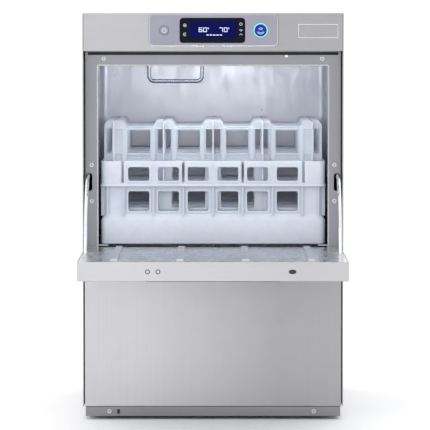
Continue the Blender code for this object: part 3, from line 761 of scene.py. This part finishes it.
def make_chamber():
    refine("wash_tank", TANK_STEEL, 0.0008)
    refine("front_frame", FRAME_STEEL, 0.0003)
    dress("rack_rail_left", PRESSED_STEEL)
    dress("rack_rail_right", PRESSED_STEEL)
    dress("door_seal", RUBBER)
    dress("tank_filter", PRESSED_STEEL)

    lip_profile = [(-0.0019, 0.0), (-0.0019, 0.0003), (-0.0004, 0.0009), (0.0008, 0.0008), (0.0011, 0.0),
                   (0.0011, -0.0070), (0.0002, -0.0070), (0.0002, 0.0)]
    frame_face = node_box("front_frame")[0].y
    opening_low, opening_high = Vector((-0.204, 0, 0.292)), Vector((0.204, 0, 0.619))
    half = (opening_high - opening_low) / 2
    lip = frame_sweep("opening_lip", lip_profile, half.x, half.z, 0.0025)
    centre = (opening_low + opening_high) / 2
    move = Matrix.Translation(spot(0, frame_face, centre.z)) @ FACING_FRONT
    as_piece("opening_lip", settle(lip, move), LIP_STEEL, "cabinet")
    # A dark rubber strip along the frame below the fascia: partly a seal, partly painted shade standing in
    # for the shadow the fascia casts.
    seal_and_shade_strip = round_rect((-0.2215, -0.0026), (0.2215, 0.0026), 0.0012, 3)
    seal_and_shade_strip = plate_mesh("top_seal_and_shade_strip", [seal_and_shade_strip], 0.0007, 0.0003)
    seal_and_shade_strip = settle(seal_and_shade_strip, Matrix.Translation(spot(0, frame_face, 0.6400)) @ FACING_FRONT)
    as_piece("frame_top_seal_and_shade_strip", seal_and_shade_strip, RUBBER, "cabinet")

    rear = 0.446
    ceiling = 0.6645
    route = [(-0.1210, ceiling)]
    route += arc((-0.1110, 0.593), 0.010, 180, 270, 6) + arc((-0.0308, 0.593), 0.010, 270, 360, 6)
    route.append((-0.0208, ceiling))
    band = tube_mesh("rear_emboss", [(x, 0, z) for x, z in route], 0.0036, 4)
    band.transform(Matrix.Translation(spot(0, rear, 0)) @ Matrix.Diagonal((1, 0.42, 1, 1)))
    # Its finish is painted shade, darker than the tank sheet it is pressed from.
    as_piece("tank_rear_emboss", band, EMBOSS_SHADE_STEEL, "cabinet")

    dimple_profile = [(0, 0.0018), (0.0020, 0.0016), (0.0034, 0.0008), (0.0040, 0), (0, 0)]
    dimples = []
    for side in (-1, 1):
        for y in (0.120, 0.350):
            for z in (0.470, 0.559):
                dimple = turned_mesh("dimple", dimple_profile, 16)
                dimple.transform(Matrix.Translation(spot(side * 0.2119, y, z)) @ Matrix.Rotation(
                    -side * math.pi / 2, 4, "Y"))
                dimples.append(dimple)
    whole = settle(joined("dimples", dimples), Matrix())
    as_piece("tank_side_dimples", whole, TANK_STEEL, "cabinet")

    right_side = ((0.193, 0.6310), (0.2150, 0.4430), (0.2150, 0.3790))
    places = [(side * x, frame_face, z) for side in (-1, 1) for x, z in right_side]
    add_screws("frame_screw", places, FACING_FRONT, "cabinet", 1.2)
    stop_profile = [(0, 0.0009), (0.0022, 0.0009), (0.0032, 0.0004), (0.0034, 0), (0, 0)]
    stop = turned_mesh("door_stop", stop_profile, 20)
    stop.transform(Matrix.Translation(spot(0.130, frame_face, 0.636)) @ FACING_FRONT)
    as_piece("frame_plug", settle(stop, Matrix()), BRIGHT_STEEL, "cabinet")


def make_spray_details():
    """Nozzles on the wash arms and jets on the rinse arms, each facing the rack."""
    boss, margin = 0.034, 0.010
    for level, up in (("lower", 1), ("upper", -1)):
        for kind, radius, tall, pitch in (("wash", 0.0042, 0.0022, 0.034), ("rinse", 0.0018, 0.0012, 0.030)):
            node = f"{level}_{kind}_arm"
            low, high = node_box(node)
            centre = (low + high) / 2
            face = high.z if up > 0 else low.z
            along = Vector((1, 0, 0)) if high.x - low.x > high.y - low.y else Vector((0, 1, 0))
            reach = max(high.x - low.x, high.y - low.y) / 2
            made = []
            for side in (-1, 1):
                for count in range(1, 5):
                    away = boss + pitch * count
                    if away > reach - margin:
                        continue
                    place = centre + along * (side * away)
                    profile = [(radius * 0.35, tall * 0.4), (radius * 0.35, tall), (radius * 0.7, tall),
                               (radius, tall * 0.5), (radius, 0), (0, 0), (0, tall * 0.4),
                               (radius * 0.35, tall * 0.4)]
                    nozzle = turned_mesh("nozzle", profile, 18)
                    turn = Matrix() if up > 0 else Matrix.Rotation(math.pi, 4, "X")
                    nozzle.transform(Matrix.Translation(spot(place.x, place.y, face)) @ turn)
                    made.append(nozzle)
            whole = settle(joined(node + "_jets", made), Matrix())
            as_piece(node + "_jets", whole, BRIGHT_STEEL, node)
            refine(node, PRESSED_STEEL if kind == "wash" else BRIGHT_STEEL, 0.0010, 3)


# Door

def make_door():
    skin_low, skin_high = node_box("door_outer_skin")
    tip = skin_low.y
    middle = (skin_low.z + skin_high.z) / 2
    sunk = tip + POCKET_DEPTH
    screws = (-0.1086, -0.0914)
    plug = [(0.1325 + x * 1.35, middle + z * 0.8) for x, z in circle((0, 0), 0.0047)]
    pocket_outlines = [circle((x, middle), 0.0042) for x in screws]
    pocket_outlines.append([(0.1325 + x * 1.35, middle + z * 0.8) for x, z in circle((0, 0), 0.0050)])
    to_tip = Matrix.Translation(spot(0, sunk, 0)) @ FACING_FRONT
    pockets = plate_mesh("pockets", pocket_outlines, 0.003)
    pockets.transform(to_tip)
    refine("door_outer_skin", DOOR_STEEL, 0.0010, 3, pockets=pockets)
    refine("door_inner_skin", PRESSED_STEEL, 0.0006)
    refine("door_handle", BLACK, 0.0006)
    for side in ("left", "right"):
        dress(f"door_arm_{side}", BRIGHT_STEEL)
        dress(f"hinge_bracket_{side}", PLAIN_STEEL)

    for number, x in enumerate(screws, 1):
        head = SCREW_HEAD.copy()
        sized = Matrix.Diagonal((0.75, 0.75, 0.5, 1))
        head.transform(Matrix.Translation(spot(x, sunk, middle)) @ FACING_FRONT @ sized)
        as_piece(f"door_screw_{number}", head, SCREW_STEEL, "door")
    # Painted shade: dark rings on the pocket floors round the screw heads stand in for the shade in the
    # pockets.
    rings = [ring_mark(x, middle, sunk, 0.0041, 0.0025) for x in screws]
    flat_marks("door_screw_shade_rings", rings, POCKET_SHADE_STEEL, "door")
    cap = plate_mesh("plug", [plug], POCKET_DEPTH - 0.0001, 0.0002)
    as_piece("door_tip_plug", settle(cap, to_tip), BLACK, "door")

    edge = [((-0.114, tip + 0.006, skin_low.z - 0.0002), (0.111, tip + 0.0095, skin_low.z + 0.0006))]
    grip = blocks_mesh("grip_edge", edge, 0.0003)
    as_piece("door_grip_edge", settle(grip, Matrix.Translation(DATUM)), BLACK, "door")

    inner_top = skin_high.z
    rivet_profile = [(0, 0.0007), (0.0016, 0.0006), (0.0025, 0.0003), (0.0026, 0), (0, 0)]
    feet, rivets = [], []
    for side in (-1, 1):
        x = sorted((side * 0.2066, side * 0.2148))
        foot = [((x[0], -0.1455, inner_top - 0.0005), (x[1], -0.1175, inner_top + 0.0003))]
        feet.append(blocks_mesh("arm_foot", foot, 0.0001, 1))
        for y in (-0.1410, -0.1220):
            rivet = turned_mesh("rivet", rivet_profile, 20)
            rivet.transform(Matrix.Translation((side * 0.2107, y, inner_top)))
            rivets.append(rivet)
    for name, made in (("door_arm_feet", feet), ("door_arm_rivets", rivets)):
        flat_marks(name, made, BRIGHT_STEEL, "door")


def make_springs():
    """Close-wound springs on the cabinet's sides, hooked to the door arms."""
    for name, side in (("left", -1), ("right", 1)):
        node = f"door_spring_{name}"
        low, high = node_box(node)
        x = (low.x + high.x) / 2
        hook = Vector((x, low.y + 0.0012, high.z - 0.0007))
        anchor = Vector((x, high.y - 0.0008, low.z + 0.0007))
        way = (anchor - hook).normalized()
        across = Vector((0, way.z, -way.y))
        length = (anchor - hook).length
        start, end, coil, turns, a_turn = 0.150, length - 0.055, 0.0046, 62, 10
        route = [hook, hook + way * (start - 0.006)]
        for step in range(turns * a_turn + 1):
            share = step / (turns * a_turn)
            angle = 2 * math.pi * step / a_turn
            centre = hook + way * (start + (end - start) * share)
            sideways = Vector((coil * math.cos(angle) * side, 0, 0))
            route.append(centre + across * coil * math.sin(angle) + sideways)
        route += [hook + way * (end + 0.006), anchor]
        mesh = tube_mesh(node + "_coil", [DATUM + point for point in route], 0.0007, 1)
        piece = as_piece(node + "_coil", mesh, BRIGHT_STEEL, "cabinet", [node])
        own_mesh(piece)


# Rack

def make_basket():
    """A moulded rack: base band, recessed wall with fins, ledge, and an upper wall with windows and slits."""
    low, high = node_box("basket")
    centre = (low + high) / 2
    half = (high.x - low.x) / 2
    tall = high.z - low.z
    outside = [
        (0.0030, 0), (0.0009, 0.0009), (0, 0.0030), (0, 0.0425), (0.0004, 0.0434), (0.0062, 0.0524),
        (0.0065, 0.0534), (0.0065, 0.1012), (0.0058, 0.1020), (-0.0008, 0.1022), (-0.0014, 0.1030),
        (-0.0014, 0.1044), (-0.0008, 0.1052), (0.0004, 0.1056), (0.0004, tall - 0.0012), (0.0010, tall)]
    inside = [
        (0.0022, tall), (0.0028, tall - 0.0012), (0.0028, 0.1062), (0.0034, 0.1050), (0.0080, 0.1046),
        (0.0088, 0.1036), (0.0088, 0.0530), (0.0028, 0.0440), (0.0024, 0.0430), (0.0024, 0.0040),
        (0.0036, 0.0026), (0.0120, 0.0024), (0.0120, 0)]
    shell = frame_sweep("basket_shell", outside + inside, half, half, 0.012, 6)
    rows = ((0.058, 0.094), (0.112, 0.137))
    panes = []
    for row_low, row_high in rows:
        for index in range(6):
            x = WINDOW_PITCH * (index - 2.5)
            panes.append(round_rect((x - 0.019, row_low), (x + 0.019, row_high), 0.004))
    reach = half + 0.010
    slits = [((x - 0.0022, -reach, 0.1085), (x + 0.0022, reach, tall + 0.01)) for x in
             (-0.1605, -0.0527, 0.0527, 0.1605)]
    for turn in (0, math.pi / 2):
        turned = Matrix.Rotation(turn, 4, "Z")
        cutter = plate_mesh("panes", panes, 2 * reach)
        cutter.transform(turned @ Matrix.Translation((0, reach, 0)) @ FACING_FRONT)
        shell = cut(shell, cutter)
        slots = blocks_mesh("slits", slits)
        slots.transform(turned)
        shell = cut(shell, slots)
    parts = [eased(welded(shell), 0.0004, 1, 50.0)]

    fins = []
    for x in (-0.1580, -0.1054, -0.0527, 0, 0.0527, 0.1054, 0.1580, -0.187, 0.187):
        fins.append(((x - 0.0010, -half + 0.0001, 0.0500), (x + 0.0010, -half + 0.0075, 0.1024)))
    upper = [((x - 0.0008, -half + 0.0001, 0.1052), (x + 0.0008, -half + 0.0012, tall - 0.002))
             for x in (-0.1054, 0.0, 0.1054)]
    rims = []
    for (row_low, row_high), face in zip(rows, (0.0056, -0.0006)):
        for index in range(6):
            x = WINDOW_PITCH * (index - 2.5)
            outer = round_rect((x - 0.0222, row_low - 0.0032), (x + 0.0222, row_high + 0.0032), 0.006)
            inner = round_rect((x - 0.0186, row_low + 0.0004), (x + 0.0186, row_high - 0.0004), 0.004)
            rim = plate_mesh("window_rim", [outer, inner], 0.0016, 0.0004, 1)
            rim.transform(Matrix.Translation((0, face + 0.0016 - half, 0)) @ FACING_FRONT)
            rims.append(rim)
    for quarter in range(4):
        side = joined("fins", [blocks_mesh("fins", fins + upper, 0.0003, 1), *rims])
        side.transform(Matrix.Rotation(math.pi / 2 * quarter, 4, "Z"))
        parts.append(side)

    bars = []
    pitch, lattice = 0.0110, 17
    for index in range(-lattice, lattice + 1):
        at = index * pitch
        thick = 0.0016 if index % 4 else 0.0026
        deep = 0.0026 if index % 4 else 0.0030
        bars.append(((at - thick / 2, -half + 0.004, 0.0004), (at + thick / 2, half - 0.004, deep)))
        bars.append(((-half + 0.004, at - thick / 2, 0.0005), (half - 0.004, at + thick / 2, deep - 0.0001)))
    parts.append(blocks_mesh("lattice", bars))
    move = Matrix.Translation(spot(centre.x, centre.y, low.z))
    whole = settle(joined("basket_moulding", parts), move, 32.0)
    as_piece("basket_moulding", whole, RACK_WHITE, "rack", ["basket"])


def make_divider():
    """Crossing plates that part the rack into 16 tall cells, with windows, tabs and stiffening rails."""
    low, high = node_box("basket")
    centre = (low + high) / 2
    top = node_box("basket_divider")[1].z - low.z
    foot = node_box("basket_divider")[0].z - low.z
    rail = top - 0.0100
    ledge = 0.1075
    walls = [CELL * (index - 2) for index in range(5)]
    end, reach = 2 * CELL + 0.001, 0.1935
    tab, slope = 0.0140, 0.0200
    crest = [(-reach, ledge), (-reach, rail + 0.004), (-reach + 0.003, top)]
    for wall in walls:
        if wall > walls[0]:
            crest += [(wall - slope, rail), (wall - tab, top)]
        if wall < walls[-1]:
            crest += [(wall + tab, top), (wall + slope, rail)]
    crest += [(reach - 0.003, top), (reach, rail + 0.004), (reach, ledge), (end, ledge - 0.006), (end, foot),
              (-end, foot), (-end, ledge - 0.006)]
    holes = []
    for index in range(4):
        cell = CELL * (index - 1.5)
        holes.append(round_rect((cell - 0.0205, 0.1600), (cell + 0.0205, rail - 0.0045), 0.003, 3))
        for hole_low, hole_high in ((0.012, 0.056), (0.064, 0.098), (0.106, 0.142)):
            holes.append(round_rect((cell - 0.030, hole_low), (cell + 0.030, hole_high), 0.004, 3))
        for slot_low in (0.1495, 0.1545):
            holes.append(round_rect((cell - 0.034, slot_low), (cell + 0.034, slot_low + 0.0022), 0.0009, 2))
    for wall in walls[1:-1]:
        holes.append(round_rect((wall - 0.0130, 0.1600), (wall + 0.0130, rail - 0.0015), 0.003, 3))
        holes.append(round_rect((wall - 0.0120, rail + 0.0030), (wall + 0.0120, rail + 0.0046), 0.0007, 2))
    for side in (-1, 1):
        x = sorted((side * 0.1795, side * 0.1895))
        holes.append(round_rect((x[0], 0.1600), (x[1], rail - 0.0015), 0.003, 3))
    thick = 0.0021
    lay = Matrix.Translation((0, thick / 2, 0)) @ FACING_FRONT
    plate = plate_mesh("divider_plate", [crest, *holes], thick, 0.0003, 1)
    plate.transform(lay)
    bays = []
    for index in range(4):
        cell = CELL * (index - 1.5)
        bay = CELL / 2 - 0.0030
        bays.append(round_rect((cell - bay, 0.1600), (cell + bay, rail - 0.0045), 0.003, 3))
    low_holes = [hole for hole in holes if max(z for x, z in hole) < 0.158]
    open_plate = plate_mesh("divider_open_plate", [crest, *bays, *low_holes], thick, 0.0003, 1)
    open_plate.transform(lay)

    ribs = []
    for wall in walls:
        for side in (-1, 1):
            x = wall + side * 0.0185
            if abs(x) < reach - 0.003:
                ribs.append(((x - 0.0038, -0.0024, 0.1440), (x + 0.0038, 0.0024, rail - 0.0005)))
    rails = []
    for z in (0.1445, 0.1590, rail - 0.0028):
        rails.append(((-end, -0.0021, z), (end, 0.0021, z + 0.0020)))
    for z in (0.0595, 0.1015):
        rails.append(((-end, -0.0018, z), (end, 0.0018, z + 0.0018)))
    bars = blocks_mesh("divider_ribs", ribs + rails, 0.0004, 1)
    open_bars = blocks_mesh("divider_rails", rails, 0.0004, 1)

    parts = []
    for turn in (0, math.pi / 2):
        for wall in walls:
            inner_depth_plate = turn and abs(wall) < end - CELL / 2
            for source in (open_plate, open_bars) if inner_depth_plate else (plate, bars):
                copy = source.copy()
                copy.transform(Matrix.Rotation(turn, 4, "Z") @ Matrix.Translation((0, wall, 0)))
                parts.append(copy)
    whole = settle(joined("divider_insert", parts), Matrix.Translation(spot(centre.x, centre.y, low.z)), 32.0)
    as_piece("divider_insert", whole, DIVIDER_WHITE, "rack", ["basket_divider"])


# Machine space

def make_insides():
    for node in ("boiler_tank", "inlet_valve", "drain_pump", "pump_motor", "pump_housing", "pump_impeller"):
        refine(node, BY_SLOT[SLOT_OF[node]], 0.0006)
    for node in ("foot_front_left", "foot_front_right", "foot_rear_left", "foot_rear_right"):
        refine(node, BLACK, 0.0005)


# Light, floor and camera

def make_floor():
    """A pale floor, wide enough that its edge is far off in every view."""
    mesh = bpy.data.meshes.new("floor")
    mesh.from_pydata([(-FLOOR_REACH, -FLOOR_REACH, 0), (FLOOR_REACH, -FLOOR_REACH, 0),
                      (FLOOR_REACH, FLOOR_REACH, 0), (-FLOOR_REACH, FLOOR_REACH, 0)], [], [(0, 1, 2, 3)])
    pale = Finish("pale_floor", (0.92, 0.92, 0.925), 0.9)
    pale.tint(pale.noise(1.5, 2.0), 0.99, 1.0)
    mesh.materials.append(pale.material)
    floor = bpy.data.objects.new("floor", mesh)
    bpy.context.scene.collection.objects.link(floor)


def make_world():
    """An even white room, darker at the right, so that steel has something to mirror."""
    world = bpy.data.worlds.new("studio")
    bpy.context.scene.world = world
    world.use_nodes = True
    nodes, links = world.node_tree.nodes, world.node_tree.links
    background = nodes["Background"]
    place = nodes.new("ShaderNodeTexCoord")
    gradient = nodes.new("ShaderNodeSeparateXYZ")
    ramp = nodes.new("ShaderNodeValToRGB")
    across = nodes.new("ShaderNodeMath")
    across.operation = "MULTIPLY_ADD"
    across.inputs[1].default_value = -0.35
    across.inputs[2].default_value = 0.5
    links.new(place.outputs["Generated"], gradient.inputs[0])
    links.new(gradient.outputs["X"], across.inputs[0])
    links.new(across.outputs[0], ramp.inputs["Fac"])
    ramp.color_ramp.elements[0].position = 0.15
    ramp.color_ramp.elements[0].color = (0.50, 0.52, 0.55, 1)
    ramp.color_ramp.elements[1].position = 0.31
    ramp.color_ramp.elements[1].color = (1.0, 1.0, 1.0, 1)
    links.new(ramp.outputs["Color"], background.inputs["Color"])
    background.inputs["Strength"].default_value = 1.32


def add_softbox(name, place, aim, size, power):
    light = bpy.data.lights.new(name, "AREA")
    light.shape = "RECTANGLE"
    light.size, light.size_y = size
    light.energy = power
    lamp = bpy.data.objects.new(name, light)
    lamp.location = place
    lamp.rotation_euler = (Vector(aim) - Vector(place)).to_track_quat("-Z", "Y").to_euler()
    bpy.context.scene.collection.objects.link(lamp)


def make_lights():
    aim = spot(0, 0.1, 0.4)
    add_softbox("key_softbox", spot(-2.3, -3.2, 1.9), aim, (1.8, 2.4), 16.0)
    add_softbox("top_softbox", spot(0.1, -0.5, 2.8), aim, (1.8, 1.4), 8.0)
    add_softbox("rear_softbox", spot(0.8, 2.4, 1.8), aim, (1.4, 1.6), 6.0)
    add_softbox("chamber_light", spot(0, 0.055, 0.640), spot(0, 0.30, 0.36), (0.30, 0.03), 0.44)


CAMERA_DISTANCE = 6.0


def make_camera():
    """Straight on, six metres off and level with the top, aimed at the middle of the front."""
    lens = bpy.data.cameras.new("camera")
    lens.lens = 285.6
    lens.sensor_width = 36.0
    camera = bpy.data.objects.new("camera", lens)
    aside, height, middle = 0.0035, 0.7115, 0.3562
    camera.location = spot(aside, -CAMERA_DISTANCE, height)
    aim = spot(aside, 0, middle)
    camera.rotation_euler = (aim - camera.location).to_track_quat("-Z", "Y").to_euler()
    bpy.context.scene.collection.objects.link(camera)
    bpy.context.scene.camera = camera


make_camera()
make_casing()
make_louvres()
make_pipe_collars()
make_controls()
make_chamber()
make_spray_details()
make_door()
make_springs()
make_basket()
make_divider()
make_insides()
make_floor()
make_world()
make_lights()
bpy.context.scene.view_settings.view_transform = "Standard"
